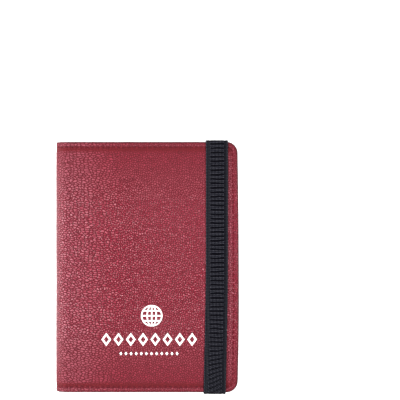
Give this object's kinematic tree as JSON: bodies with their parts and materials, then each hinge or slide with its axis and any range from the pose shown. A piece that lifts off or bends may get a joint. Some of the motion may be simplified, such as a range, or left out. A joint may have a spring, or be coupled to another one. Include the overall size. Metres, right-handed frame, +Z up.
{
  "type": "passport holder wallet",
  "caption": "Book-style leather travel document wallet with a rounded spine, card and boarding pass pockets, a passport sleeve and an elastic closure band.",
  "frame": {"origin": "middle of the back cover's outer face, which the closed wallet lies on", "axes": "+X from the spine to the fore edge, +Y up the height of the cover, +Z up through the thickness, towards the front cover"},
  "size_m": [0.104, 0.144, 0.0149],
  "materials": {
    "outer_leather": "satin",
    "pocket_leather": "satin",
    "lining": "matte",
    "thread": "satin",
    "foam": "matte",
    "board": "matte",
    "elastic": "matte"
  },
  "bodies": {
    "back": {"back_cover_leather": "outer_leather", "back_seam_thread": "thread", "back_foam_pad": "foam", "back_stiffener_board": "board", "back_lining": "lining", "passport_sleeve": "pocket_leather", "elastic_end_top": "elastic", "elastic_end_bottom": "elastic"},
    "spine": {"spine_leather": "outer_leather", "spine_foam_pad": "foam", "spine_lining": "lining", "spine_seam_thread_top": "thread", "spine_seam_thread_bottom": "thread"},
    "front": {"front_cover_leather": "outer_leather", "front_seam_thread": "thread", "front_foam_pad": "foam", "front_stiffener_board": "board", "front_lining": "lining", "boarding_pass_pocket": "pocket_leather", "card_pocket_1": "pocket_leather", "card_pocket_2": "pocket_leather", "card_pocket_3": "pocket_leather"},
    "band_hoop": {"elastic_corner_top": "elastic", "elastic_corner_bottom": "elastic"},
    "band": {"elastic_run": "elastic"}
  },
  "joints": [
    {"name": "spine_fold", "type": "hinge", "parent": "back", "child": "spine", "pos_m": [-0.0505, 0, 0.0015], "axis": [0, -1, 0], "range_deg": [0, 90]},
    {"name": "front_fold", "type": "hinge", "parent": "spine", "child": "front", "pos_m": [-0.0505, 0, 0.0125], "axis": [0, -1, 0], "range_deg": [0, 90]},
    {"name": "band_drop", "type": "slide", "parent": "back", "child": "band_hoop", "axis": [0, 0, -1], "range_m": [0, 0.0099], "deforming": ["elastic_end_top", "elastic_end_bottom", "elastic_corner_top", "elastic_corner_bottom", "elastic_run"]},
    {"name": "band_pull", "type": "slide", "parent": "band_hoop", "child": "band", "axis": [1, 0, 0], "range_m": [0, 0.02], "stiffness_N_per_m": 60, "springref_m": -0.002}
  ],
  "couplings": [
    {"joint": "front_fold", "follows": "spine_fold", "ratio": 1},
    {"joint": "band_drop", "follows": "spine_fold", "m_per_rad": 0.0063}
  ]
}
